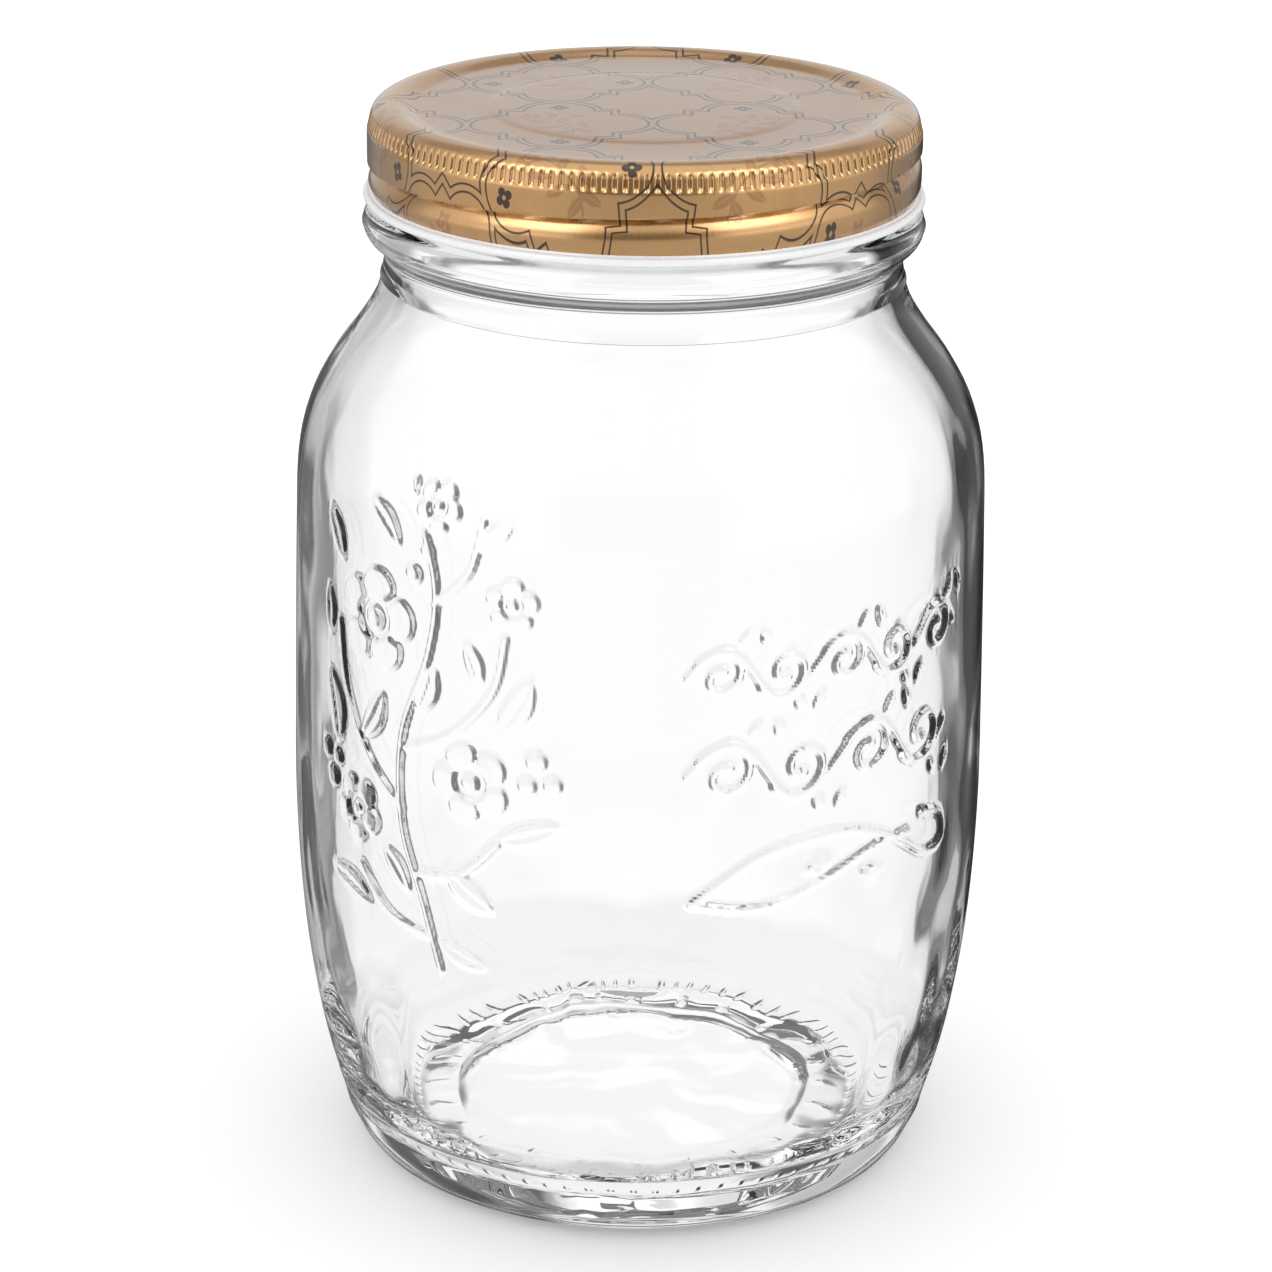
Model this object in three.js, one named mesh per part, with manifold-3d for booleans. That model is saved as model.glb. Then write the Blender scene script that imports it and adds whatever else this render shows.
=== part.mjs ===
// A one-litre preserving jar: a pressed glass body and the printed metal cap screwed on it.
// Millimetres, +Z up, standing on z = 0 with the axis of the jar on Z.

import * as THREE from "three";
import Module from "manifold-3d";

const wasm = await Module();
wasm.setup();

// How round the two pieces are
const glassSides = 64;
const lidSides = 57;
const ribs = 3 * lidSides;

// Glass. An outline is a run of [radius, height] pairs, from the foot up
const wall = 3.1;
const boreRadius = 37.2;
const finishRadius = 39.9;
const mouthHeight = 170.4;
const bodyOutline = [
  [41.8, 0], [44.9, 1.4], [46.9, 4.2], [49.5, 12], [52.1, 23], [54.3, 39], [55.3, 58], [55.1, 78],
  [54.5, 104], [53.9, 117], [51.9, 125], [48.4, 131.6], [44.3, 137.2], [41.4, 142.2], [40.3, 147.2],
];
const outerSteps = 16;
const innerSteps = 10;
const innerStart = 0.3;
const underside = [[0, 2.9], [20.1, 2.55], [33.5, 1.6], [36.8, 0]];
const floor = [[44.9, 11.4], [42.2, 8.6], [38, 7.2], [24, 7.3], [0, 7.8]];
const underBead = [40.4, 149.5];
const bead = { radius: 43.4, height: 153.7, round: 2.6, halfHeight: 2.9, turns: [-75, -45, -15, 15, 45, 75] };
const overBead = [finishRadius, 158.4];
const mouth = [
  [finishRadius, mouthHeight - 1.4], [finishRadius - 0.5, mouthHeight - 0.35],
  [finishRadius - 1.2, mouthHeight], [boreRadius + 0.9, mouthHeight - 0.1],
  [boreRadius, mouthHeight - 1.2],
];

// Screw thread, right-handed. Heights are at zero degrees and rise with the angle
const pitch = 6;
const lidThreadHeight = 165.3;
const glassThreadHeight = lidThreadHeight + 2.3;
const stepAngle = 360 / lidSides;
const fadeAngle = 26;
const lidThreadSpan = [-240, 75];
const glassThreadSpan = [-250, 15];
const thinnestDepth = 0.03;
const thread = { root: 39, crest: 41.2, rootHalf: 1.5, crestHalf: 0.5 };

// Cap. Its sheet is thicker than real tinplate, to stay a sound solid
const sheet = 0.5;
const skirtRadius = 42.65;
const grooveRadius = 41.4;
const groove = {
  mouth: skirtRadius + 0.1, beyond: skirtRadius + 1.6, low: -2.4, high: 0.65,
  section: [[42.1, -1.4], [grooveRadius, -0.4], [grooveRadius, 0.1]],
};
const ridge = {
  buried: skirtRadius - 0.35, low: -2.2, high: 1.1,
  section: [[41.65, -1.6], [grooveRadius - sheet, -0.6], [grooveRadius - sheet, 0.35]],
};
const skirtFoot = [[42.2, 158.8], [42.5, 159.8], [skirtRadius, 161.2]];
const skirtTop = [[skirtRadius, 167.3], [42.3, 168.35]];
const knurl = { radius: 42.5, depth: 0.4, top: 170.6, bottom: 168.9 };
const rim = [[42, 170.95], [41, 171.6], [38.8, 172], [37, 171.5]];
const panel = { radius: 35.8, height: 171 };
const dome = [[24.5, 0], [22.6, 0.28], [12, 0.5], [0, 0.56]];
const compoundHeight = 170.8;
const curl = { radius: 0.68, centre: 42.65, height: 157.85, angles: [-150, -90, -30, 30, 90] };

// Colours of the finishes
const glassColour = 0xeef3f2;
const goldColour = 0xb98f5f;

function ring(radius, height, sides, notch = 0) {
  if (radius === 0) {
    return [new THREE.Vector3(0, 0, height)];
  }
  return Array.from({ length: sides }, (_, i) => {
    const angle = (2 * Math.PI * i) / sides;
    const reach = radius - (i % 2) * notch;
    return new THREE.Vector3(reach * Math.cos(angle), reach * Math.sin(angle), height);
  });
}

// A closed skin through a run of rings. A ring of one point is a pole, and one ring may have
// a whole multiple of its neighbour's points
function skin(rings) {
  const positions = [];
  const triangles = [];
  const starts = rings.map((points) => {
    const start = positions.length / 3;
    points.forEach((point) => positions.push(point.x, point.y, point.z));
    return start;
  });
  for (let row = 0; row + 1 < rings.length; row += 1) {
    const steps = Math.max(rings[row].length, rings[row + 1].length);
    const vertex = (which, step) => {
      const count = rings[which].length;
      return starts[which] + (Math.floor((step * count) / steps) % count);
    };
    for (let step = 0; step < steps; step += 1) {
      const [a, nextA] = [vertex(row, step), vertex(row, step + 1)];
      const [b, nextB] = [vertex(row + 1, step), vertex(row + 1, step + 1)];
      if (a !== nextA) {
        triangles.push(a, nextA, b);
      }
      if (b !== nextB) {
        triangles.push(nextA, nextB, b);
      }
    }
  }
  return new wasm.Manifold(new wasm.Mesh({
    numProp: 3,
    vertProperties: new Float32Array(positions),
    triVerts: new Uint32Array(triangles),
  }));
}

function turned(outline, sides) {
  return skin(outline.map(([radius, height]) => ring(radius, height, sides)));
}

// A section swept along the thread's helix. section(depth) gives [radius, height] pairs that run
// up its inner side and down its outer side, and its depth fades in and out at the two ends
function threadSweep([from, to], height, section) {
  const steps = Math.round((to - from) / stepAngle);
  const rings = [];
  for (let step = 0; step <= steps; step += 1) {
    const angle = from + ((to - from) * step) / steps;
    const fromEnd = Math.min(angle - from, to - angle);
    const depth = Math.max(THREE.MathUtils.smoothstep(fromEnd, 0, fadeAngle), thinnestDepth);
    const turn = THREE.MathUtils.degToRad(angle);
    const lift = height + (pitch * angle) / 360;
    rings.push(section(depth).map(([radius, rise]) => (
      new THREE.Vector3(radius * Math.cos(turn), radius * Math.sin(turn), lift + rise)
    )));
  }
  const middle = (points) => {
    const sum = points.reduce((total, point) => total.add(point), new THREE.Vector3());
    return [sum.divideScalar(points.length)];
  };
  return skin([middle(rings[0]), ...rings, middle(rings[rings.length - 1])]);
}

function bodyCurve() {
  return new THREE.SplineCurve(bodyOutline.map(([radius, height]) => new THREE.Vector2(radius, height)));
}

// The inner face of the wall lies one wall thickness inside the outer face
function innerWall(curve) {
  const points = [];
  for (let step = innerSteps; step >= 0; step -= 1) {
    const share = innerStart + ((1 - innerStart) * step) / innerSteps;
    const point = curve.getPoint(share);
    const along = curve.getTangent(share);
    points.push([point.x - along.y * wall, point.y + along.x * wall]);
  }
  return points;
}

// The transfer bead under the finish, rounded above and below
function beadOutline() {
  return bead.turns.map((angle) => {
    const turn = THREE.MathUtils.degToRad(angle);
    const radius = bead.radius - bead.round + bead.round * Math.cos(turn);
    return [radius, bead.height + bead.halfHeight * Math.sin(turn)];
  });
}

function glassJar() {
  const curve = bodyCurve();
  const outside = curve.getPoints(outerSteps).map((point) => [point.x, point.y]);
  const neck = [underBead, ...beadOutline(), overBead, ...mouth];
  const body = turned([...underside, ...outside, ...neck, ...innerWall(curve), ...floor], glassSides);
  const screw = threadSweep(glassThreadSpan, glassThreadHeight, (depth) => {
    const crest = thread.root + (thread.crest - thread.root) * depth;
    return [
      [thread.root, -thread.rootHalf], [thread.root, thread.rootHalf],
      [crest, thread.crestHalf], [crest, -thread.crestHalf],
    ];
  });
  return body.add(screw);
}

function curlOutline() {
  return curl.angles.map((angle) => {
    const turn = THREE.MathUtils.degToRad(angle);
    return [curl.centre + curl.radius * Math.cos(turn), curl.height + curl.radius * Math.sin(turn)];
  });
}

// The groove rolled into the skirt: steep above, where it bears on the glass, and easy below
function rolledGroove(depth) {
  return [
    [groove.mouth, groove.low],
    ...groove.section.map(([radius, rise]) => [groove.mouth - (groove.mouth - radius) * depth, rise]),
    [groove.mouth, groove.high], [groove.beyond, groove.high], [groove.beyond, groove.low],
  ];
}

// The same groove seen from inside the cap, one sheet further in
function innerRidge(depth) {
  return [
    [ridge.buried, ridge.low],
    ...ridge.section.map(([radius, rise]) => [ridge.buried - (ridge.buried - radius) * depth, rise]),
    [ridge.buried, ridge.high],
  ];
}

// The inner face of the sheet, which runs the other way
function insideOf(outline) {
  const inner = outline.map(([radius, height], i) => {
    const before = outline[Math.max(i - 1, 0)];
    const after = outline[Math.min(i + 1, outline.length - 1)];
    const length = Math.hypot(after[0] - before[0], after[1] - before[1]);
    return [
      Math.max(radius - (sheet * (after[1] - before[1])) / length, 0),
      height + (sheet * (after[0] - before[0])) / length,
    ];
  });
  return inner.reverse();
}

// Sealing compound fills the channel under the rim
function withCompound([radius, height]) {
  return [radius, radius > panel.radius ? Math.min(height, compoundHeight) : height];
}

function cap() {
  const skirt = [...skirtFoot, ...skirtTop];
  const knurlRoot = [knurl.bottom, knurl.top].map((height) => [knurl.radius - knurl.depth, height]);
  const top = [
    ...rim,
    [panel.radius, panel.height],
    ...dome.map(([radius, rise]) => [radius, panel.height + rise]),
  ];
  const inside = insideOf([...skirt, ...knurlRoot, ...top]).map(withCompound);
  const ribRings = [knurl.bottom, knurl.top].map((height) => (
    ring(knurl.radius, height, 2 * ribs, knurl.depth)
  ));
  const rings = (outline) => outline.map(([radius, height]) => ring(radius, height, lidSides));
  const shell = skin([...rings([...inside, ...curlOutline(), ...skirt]), ...ribRings, ...rings(top)]);
  const raised = threadSweep(lidThreadSpan, lidThreadHeight, innerRidge);
  const sunk = threadSweep(lidThreadSpan, lidThreadHeight, rolledGroove);
  return shell.add(raised).subtract(sunk);
}

function pieceOf(name, solid, material) {
  const { numProp, vertProperties, triVerts } = solid.getMesh();
  const geometry = new THREE.BufferGeometry();
  geometry.setAttribute("position", new THREE.BufferAttribute(vertProperties, numProp));
  geometry.setIndex(new THREE.BufferAttribute(triVerts, 1));
  geometry.computeVertexNormals();
  const mesh = new THREE.Mesh(geometry, material);
  mesh.name = name;
  return mesh;
}

const clearGlass = new THREE.MeshStandardMaterial({
  color: glassColour, roughness: 0.03, metalness: 0, transparent: true, opacity: 0.35,
});
const printedGold = new THREE.MeshStandardMaterial({ color: goldColour, roughness: 0.3, metalness: 0.9 });

const jar = new THREE.Group();
jar.add(pieceOf("glass_jar", glassJar(), clearGlass));
jar.add(pieceOf("lid", cap(), printedGold));

export default jar;
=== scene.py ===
import math

import bpy
import numpy as np
from mathutils import Matrix, Vector, noise


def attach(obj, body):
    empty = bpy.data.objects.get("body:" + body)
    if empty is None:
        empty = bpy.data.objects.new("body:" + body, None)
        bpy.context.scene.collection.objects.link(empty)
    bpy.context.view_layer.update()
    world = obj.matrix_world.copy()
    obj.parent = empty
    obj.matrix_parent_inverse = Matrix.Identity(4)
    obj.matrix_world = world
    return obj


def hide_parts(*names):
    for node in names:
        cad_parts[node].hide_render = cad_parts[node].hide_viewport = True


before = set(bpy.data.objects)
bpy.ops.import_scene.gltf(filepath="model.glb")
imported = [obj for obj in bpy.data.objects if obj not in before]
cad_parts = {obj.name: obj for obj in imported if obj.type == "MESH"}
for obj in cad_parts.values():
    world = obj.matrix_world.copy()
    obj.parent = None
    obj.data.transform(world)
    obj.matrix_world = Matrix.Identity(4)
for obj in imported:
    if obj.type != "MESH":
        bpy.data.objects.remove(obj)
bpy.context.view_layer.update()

mm = 0.001  # outlines and sizes below are in millimetres, the scene is in metres
splineSteps = 40  # fine steps from one given point of an outline to the next
samePoint = 1e-6  # points nearer than this are one point of an outline
sameLevel = 1e-4  # the two ends of a level edge differ by less than this
weldWithin = 0.002  # vertices nearer than this are merged after a spin
tiny = 1e-9  # keeps a stretch of no length from dividing by nothing


def degrees(value):
    return math.radians(value)


def smoothStep(value, low, high):
    share = np.clip((value - low) / (high - low), 0, 1)
    return share * share * (3 - 2 * share)


def throughPoints(points, spacing):
    # a Catmull-Rom line through the points, with a point about every spacing
    points = np.array(points, float)
    padded = np.vstack([points[:1], points, points[-1:]])
    dense = []
    for i in range(len(points) - 1):
        before, start, end, after = padded[i:i + 4]
        leave, arrive = (end - before) / 2, (after - start) / 2
        for t in np.linspace(0, 1, splineSteps, endpoint=False):
            dense.append(
                (2 * start - 2 * end + leave + arrive) * t**3
                + (-3 * start + 3 * end - 2 * leave - arrive) * t**2
                + leave * t + start
            )
    dense = np.array(dense + [points[-1]])
    run = np.concatenate([[0], np.cumsum(np.linalg.norm(np.diff(dense, axis=0), axis=1))])
    stops = np.linspace(0, run[-1], max(int(round(run[-1] / spacing)), 2) + 1)
    return np.column_stack([np.interp(stops, run, dense[:, k]) for k in range(dense.shape[1])])


def joined(*parts):
    # several outlines end to end, without the point that two of them share
    line = [np.array(parts[0], float)]
    for part in parts[1:]:
        part = np.array(part, float)
        shared = np.linalg.norm(part[0] - line[-1][-1]) < samePoint
        line.append(part[1:] if shared else part)
    return np.vstack(line)


def directionsOf(line):
    along = np.gradient(line, axis=0)
    return along / np.linalg.norm(along, axis=1)[:, None]


def spunFrom(name, outline, columns):
    # one vertex is drawn out along the outline and spun round the axis
    bpy.ops.object.select_all(action="DESELECT")
    bpy.ops.mesh.primitive_plane_add(size=mm, location=(0, 0, 0))
    piece = bpy.context.active_object
    piece.name = piece.data.name = name
    bpy.context.tool_settings.mesh_select_mode = (True, False, False)
    bpy.ops.object.mode_set(mode="EDIT")
    bpy.ops.mesh.select_all(action="SELECT")
    bpy.ops.mesh.merge(type="CENTER")
    place = Vector((outline[0][0] * mm, 0, outline[0][1] * mm))
    bpy.ops.transform.translate(value=place)
    for radius, height in outline[1:]:
        target = Vector((radius * mm, 0, height * mm))
        bpy.ops.mesh.extrude_region_move(TRANSFORM_OT_translate={"value": target - place})
        place = target
    bpy.ops.mesh.select_all(action="SELECT")
    bpy.ops.mesh.spin(steps=columns, angle=2 * math.pi, center=(0, 0, 0), axis=(0, 0, 1))
    bpy.ops.mesh.select_all(action="SELECT")
    bpy.ops.mesh.remove_doubles(threshold=weldWithin * mm)
    bpy.ops.mesh.normals_make_consistent(inside=False)
    bpy.ops.object.mode_set(mode="OBJECT")
    return piece


def pointsOf(piece):
    # vertex places in millimetres
    flat = np.empty(len(piece.data.vertices) * 3)
    piece.data.vertices.foreach_get("co", flat)
    return flat.reshape(-1, 3) / mm


def movePoints(piece, points):
    piece.data.vertices.foreach_set("co", (points * mm).ravel())
    piece.data.update()


def faceVectors(piece, kind):
    # the centre or the normal of every face
    flat = np.empty(len(piece.data.polygons) * 3)
    piece.data.polygons.foreach_get(kind, flat)
    return flat.reshape(-1, 3)


def polar(points):
    return np.hypot(points[:, 0], points[:, 1]), np.degrees(np.arctan2(points[:, 1], points[:, 0]))


def fromPolar(radius, angle, height):
    turn = np.radians(angle)
    return np.column_stack([radius * np.cos(turn), radius * np.sin(turn), height])


def arcOf(turn, radius):
    # length round the axis, of a turn in degrees
    return turn * np.radians(1) * radius


def between(values, low, high):
    return (values > low) & (values < high)


def screwTurns(angle, height, screw):
    # for each turn: how far the points lie above the screw line, and its fading at both ends
    for turn in (-360, 0):
        along = angle + turn
        ends = np.minimum(along - screw["span"][0], screw["span"][1] - along)
        above = height - (screw["height"] + screw["pitch"] * along / 360)
        yield above, smoothStep(ends, 0, screw["fade"])


def makeActive(piece):
    bpy.ops.object.select_all(action="DESELECT")
    bpy.context.view_layer.objects.active = piece
    piece.select_set(True)


def cutFiner(piece, kind, chosen, cuts):
    # kind is "edges" or "polygons": the chosen ones are subdivided in edit mode
    makeActive(piece)
    bpy.context.tool_settings.mesh_select_mode = (False, kind == "edges", kind == "polygons")
    bpy.ops.object.mode_set(mode="EDIT")
    bpy.ops.mesh.select_all(action="DESELECT")
    bpy.ops.object.mode_set(mode="OBJECT")
    getattr(piece.data, kind).foreach_set("select", chosen)
    bpy.ops.object.mode_set(mode="EDIT")
    bpy.ops.mesh.subdivide(number_cuts=cuts)
    bpy.ops.mesh.select_all(action="DESELECT")
    bpy.ops.object.mode_set(mode="OBJECT")


def cutAround(piece, chosen, cuts):
    # only the level edges between chosen points are cut, which adds columns and no rows
    edges = piece.data.edges
    ends = np.empty(len(edges) * 2, int)
    edges.foreach_get("vertices", ends)
    first, last = ends.reshape(-1, 2).T
    points = pointsOf(piece)
    radius, _ = polar(points)
    level = np.abs(points[first, 2] - points[last, 2]) < sameLevel
    level &= np.abs(radius[first] - radius[last]) < sameLevel
    cutFiner(piece, "edges", level & chosen[first] & chosen[last], cuts)


def finished(piece, sharpAngle):
    makeActive(piece)
    bpy.ops.object.shade_smooth_by_angle(angle=degrees(sharpAngle))
    bpy.ops.object.select_all(action="DESELECT")


class Wire:
    # a socket that adds Math nodes as it is used in an expression

    def __init__(self, tree, source=None):
        self.tree = tree
        self.source = source

    def node(self, kind, settings=None, inputs=None):
        added = self.tree.nodes.new(kind)
        for name, value in (settings or {}).items():
            setattr(added, name, value)
        for name, value in (inputs or {}).items():
            if isinstance(value, Wire):
                self.tree.links.new(value.source, added.inputs[name])
            else:
                added.inputs[name].default_value = value
        first = next((output for output in added.outputs if output.enabled), None)
        return Wire(self.tree, first)

    def out(self, name):
        return Wire(self.tree, self.source.node.outputs[name])

    def maths(self, operation, *values):
        return self.node("ShaderNodeMath", {"operation": operation}, dict(enumerate(values)))

    def __add__(self, other):
        return self.maths("ADD", self, other)

    def __sub__(self, other):
        return self.maths("SUBTRACT", self, other)

    def __rsub__(self, other):
        return self.maths("SUBTRACT", other, self)

    def __mul__(self, other):
        return self.maths("MULTIPLY", self, other)

    def __truediv__(self, other):
        return self.maths("DIVIDE", self, other)

    def __rtruediv__(self, other):
        return self.maths("DIVIDE", other, self)

    def __neg__(self):
        return self.maths("MULTIPLY", self, -1.0)

    def __abs__(self):
        return self.maths("ABSOLUTE", self)

    __radd__ = __add__
    __rmul__ = __mul__

    def over(self, edge):
        return self.maths("GREATER_THAN", self, edge)

    def root(self):
        return self.maths("SQRT", self)

    def least(self, other):
        return self.maths("MINIMUM", self, other)

    def most(self, other):
        return self.maths("MAXIMUM", self, other)

    def soft(self, low, high):
        # 0 up to low, 1 past high, smooth between
        return self.node(
            "ShaderNodeMapRange", {"interpolation_type": "SMOOTHSTEP"},
            {"Value": self, "From Min": low, "From Max": high},
        )

    def blend(self, first, second):
        # numbers: first where this wire is 0, second where it is 1
        return first + self * (second - first)

    def mixed(self, first, second):
        # first where this wire is 0, second where it is 1
        mixer = self.node(
            "ShaderNodeMix", {"data_type": "RGBA"},
            {0: self, 6: first, 7: second},
        )
        return Wire(self.tree, mixer.source.node.outputs[2])


def newMaterial(name):
    made = bpy.data.materials.new(name)
    made.use_nodes = True
    made.node_tree.nodes.clear()
    return made, Wire(made.node_tree)


def surfaceOf(wire, shader):
    wire.node("ShaderNodeOutputMaterial", {}, {"Surface": shader})


studio = {
    "lens": 113.65,
    "sensorWidth": 36,
    "clipEnd": 60,
    "cameraPlace": (0, -604.71, 310.2),
    "pitchDown": 20.469,
    "yaw": -0.0462,
    "roll": 0.662,
    "bounces": 28,
    "floorSize": 18,
    "floorDrop": 0.02,
    "floorTone": 0.95,
    "floorGlow": 0.14,
}


def makeCamera():
    pitch, yaw, roll = (degrees(studio[key]) for key in ("pitchDown", "yaw", "roll"))
    forward = Vector((
        math.sin(yaw) * math.cos(pitch), math.cos(yaw) * math.cos(pitch), -math.sin(pitch),
    ))
    right = forward.cross(Vector((0, 0, 1))).normalized()
    up = right.cross(forward)
    turnedRight = math.cos(roll) * right + math.sin(roll) * up
    turnedUp = -math.sin(roll) * right + math.cos(roll) * up
    bpy.ops.object.camera_add()
    camera = bpy.context.active_object
    camera.name = "camera"
    camera.data.sensor_width = studio["sensorWidth"]
    camera.data.lens = studio["lens"]
    camera.data.clip_end = studio["clipEnd"]
    turn = Matrix((turnedRight, turnedUp, -forward)).transposed().to_4x4()
    camera.matrix_world = Matrix.Translation(Vector(studio["cameraPlace"]) * mm) @ turn
    bpy.context.scene.camera = camera


def makeFloor():
    bpy.ops.object.select_all(action="DESELECT")
    below = (0, 0, -studio["floorDrop"] * mm)
    bpy.ops.mesh.primitive_plane_add(size=studio["floorSize"], location=below)
    floor = bpy.context.active_object
    floor.name = "studioFloor"
    material, wire = newMaterial("paleFloor")
    tone = studio["floorTone"]
    shader = wire.node("ShaderNodeBsdfPrincipled", {}, {
        "Base Color": (tone, tone, tone, 1), "Roughness": 1, "Specular IOR Level": 0,
        "Emission Color": (1, 1, 1, 1), "Emission Strength": studio["floorGlow"],
    })
    surfaceOf(wire, shader)
    floor.data.materials.append(material)
    floor.visible_glossy = False
    floor.visible_transmission = False


room = {
    # how light each part is, and between which two values it fades into the next. A pair named
    # Turn is in radians round from the front, and a Fade is in parts of the ray's direction
    "rightFade": (-0.1, 0.1),
    "horizonFade": (-0.16, -0.02),
    "ground": 0.84,
    "groundSides": (0.5, 0.4),
    "groundSidesTurn": (1.6, 2.3),
    "groundBack": (0.2, 0.04),
    "groundBackTurn": (2.45, 2.8),
    "front": (0.2, 1.0),
    "frontFade": (0.35, 0.65),
    "boxLight": (1.9, 1.15, 4.6),
    "boxDipFade": (0.12, 0.19),
    "boxHighFade": (0.36, 0.46),
    "boxFar": 1.2,
    "boxFarTurn": (1.05, 1.4),
    "boxFirstTurn": (0.42, 0.62),
    "boxLastTurn": (1.7, 2.05),
    "behindTurn": (1.9, 2.3),
    "backdrop": (0.7, 0.94),
    "backdropTurn": (2.5, 2.9),
    "highBack": (0.45, 1.4),
    "highBackFades": [(0.56, 0.64), (0.78, 0.86)],
    "zenith": 1.3,
    "zenithFade": (0.88, 0.95),
    "darkLeft": (0.3, 0.1, 0.5),
    "darkRight": (0.97, 0.88, 1.0),
    "darkFades": [(0.13, 0.22), (0.24, 0.3), (0.33, 0.38)],
    "darkDeepFade": (0.4, 0.6),
    "wallDark": 0.35,
    "wallFades": [(-0.5, -0.42), (-0.2, -0.1)],
    "through": (1.17, 1.33),
    "throughFade": (-0.47, -0.37),
    "flankDim": 0.85,
    "flankFades": [(0.2, 0.32), (0.48, 0.58)],
    "flankTopFade": (-0.28, -0.15),
    "overDim": 0.75,
    "overFade": (0.02, 0.25),
    "underDim": 0.45,
    "underFade": (-0.87, -0.7),
    "floorLight": 1.42,
}


def mirroredLight(high, fromFront, rightHand):
    # two soft boxes up at the sides, and a darker strip in front of the jar
    ground = rightHand.blend(*room["groundSides"])
    ground = fromFront.soft(*room["groundSidesTurn"]).blend(room["ground"], ground)
    groundBack = rightHand.blend(*room["groundBack"])
    ground = fromFront.soft(*room["groundBackTurn"]).blend(ground, groundBack)
    boxLow, boxDip, boxHigh = room["boxLight"]
    boxLight = high.soft(*room["boxDipFade"]).blend(boxLow, boxDip)
    boxLight = high.soft(*room["boxHighFade"]).blend(boxLight, boxHigh)
    boxLight = fromFront.soft(*room["boxFarTurn"]).blend(boxLight, room["boxFar"])
    boxes = fromFront.soft(*room["boxFirstTurn"]) * (1 - fromFront.soft(*room["boxLastTurn"]))
    front = high.soft(*room["frontFade"]).blend(*room["front"])
    lowFade, highFade = room["highBackFades"]
    behind = fromFront.soft(*room["backdropTurn"]).blend(*room["backdrop"])
    behind = high.soft(*lowFade).blend(behind, high.soft(*highFade).blend(*room["highBack"]))
    pastBoxes = fromFront.soft(*room["behindTurn"])
    above = pastBoxes.blend(boxes.blend(front, boxLight), behind)
    above = (high.soft(*room["zenithFade"]) * (1 - pastBoxes)).blend(above, room["zenith"])
    return high.soft(*room["horizonFade"]).blend(ground, above)


def darkEnds(high, deep, aside, rightHand):
    # they draw the edges of the glass. Each has a near, a middle and a far part
    near, middle, far = (rightHand.blend(*pair) for pair in zip(room["darkLeft"], room["darkRight"]))
    nearFade, middleFade, farFade = room["darkFades"]
    dark = aside.soft(*middleFade).blend(near, middle)
    dark = aside.soft(*farFade).blend(dark, far)
    # light that went round in the upright wall keeps the slope it came with
    steepest, flattest = room["wallFades"]
    kept = high.soft(*steepest) * (1 - high.soft(*flattest))
    dark = dark * kept.most(aside.soft(*nearFade)) * deep.soft(*room["darkDeepFade"])
    return dark.most(kept * room["wallDark"])


def lightThrough(high, deep, aside, dark, inside):
    # what the refracted rays meet. Only those not mirrored inside are dimmed high up and low down
    firstFade, lastFade = room["flankFades"]
    flank = aside.soft(*firstFade) * (1 - aside.soft(*lastFade))
    flank = flank * (1 - high.soft(*room["flankTopFade"])) * deep.over(0)
    over = high.soft(*room["overFade"]) * (1 - inside)
    under = (1 - high.soft(*room["underFade"])) * (1 - inside)
    light = high.soft(*room["throughFade"]).blend(*room["through"])
    light = light * (1 - dark) * (1 - room["flankDim"] * flank)
    return light * (1 - room["overDim"] * over) * (1 - room["underDim"] * under)


def makeRoom():
    # a pale room, plain white to the camera, with dark ends that only light inside the glass meets
    world = bpy.context.scene.world or bpy.data.worlds.new("room")
    bpy.context.scene.world = world
    world.use_nodes = True
    world.cycles.sampling_method = "NONE"
    # light in the thick foot turns back many times before it gets out
    cycles = bpy.context.scene.cycles
    cycles.max_bounces = cycles.transmission_bounces = cycles.glossy_bounces = studio["bounces"]
    world.node_tree.nodes.clear()
    wire = Wire(world.node_tree)
    way = wire.node("ShaderNodeTexCoord").out("Generated")
    split = way.node("ShaderNodeSeparateXYZ", {}, {0: way})
    across, deep, high = split.out("X"), split.out("Y"), split.out("Z")
    fromFront, aside = abs(wire.maths("ARCTAN2", across, -deep)), abs(across)
    rightHand = across.soft(*room["rightFade"])
    path = wire.node("ShaderNodeLightPath")
    once = 0.5  # a depth over this is one bounce or more
    inside = path.out("Glossy Depth").over(once) * path.out("Transmission Depth").over(once)
    shiny = mirroredLight(high, fromFront, rightHand)
    dark = darkEnds(high, deep, aside, rightHand) * inside
    through = lightThrough(high, deep, aside, dark, inside)
    # a ray that leaves the glass by refraction counts as both glossy and transmission
    seen, mirrored, refracted = (
        path.out(name) for name in ("Is Camera Ray", "Is Glossy Ray", "Is Transmission Ray")
    )
    light = seen + mirrored * refracted.blend(inside.blend(shiny, 1 - dark), through)
    light = light + (1 - seen - mirrored) * room["floorLight"]
    background = wire.node("ShaderNodeBackground", {}, {"Strength": light})
    wire.node("ShaderNodeOutputWorld", {}, {"Surface": background})


bpy.context.scene.view_settings.view_transform = "Standard"
makeCamera()
makeFloor()
makeRoom()
print("studio ready")


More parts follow.
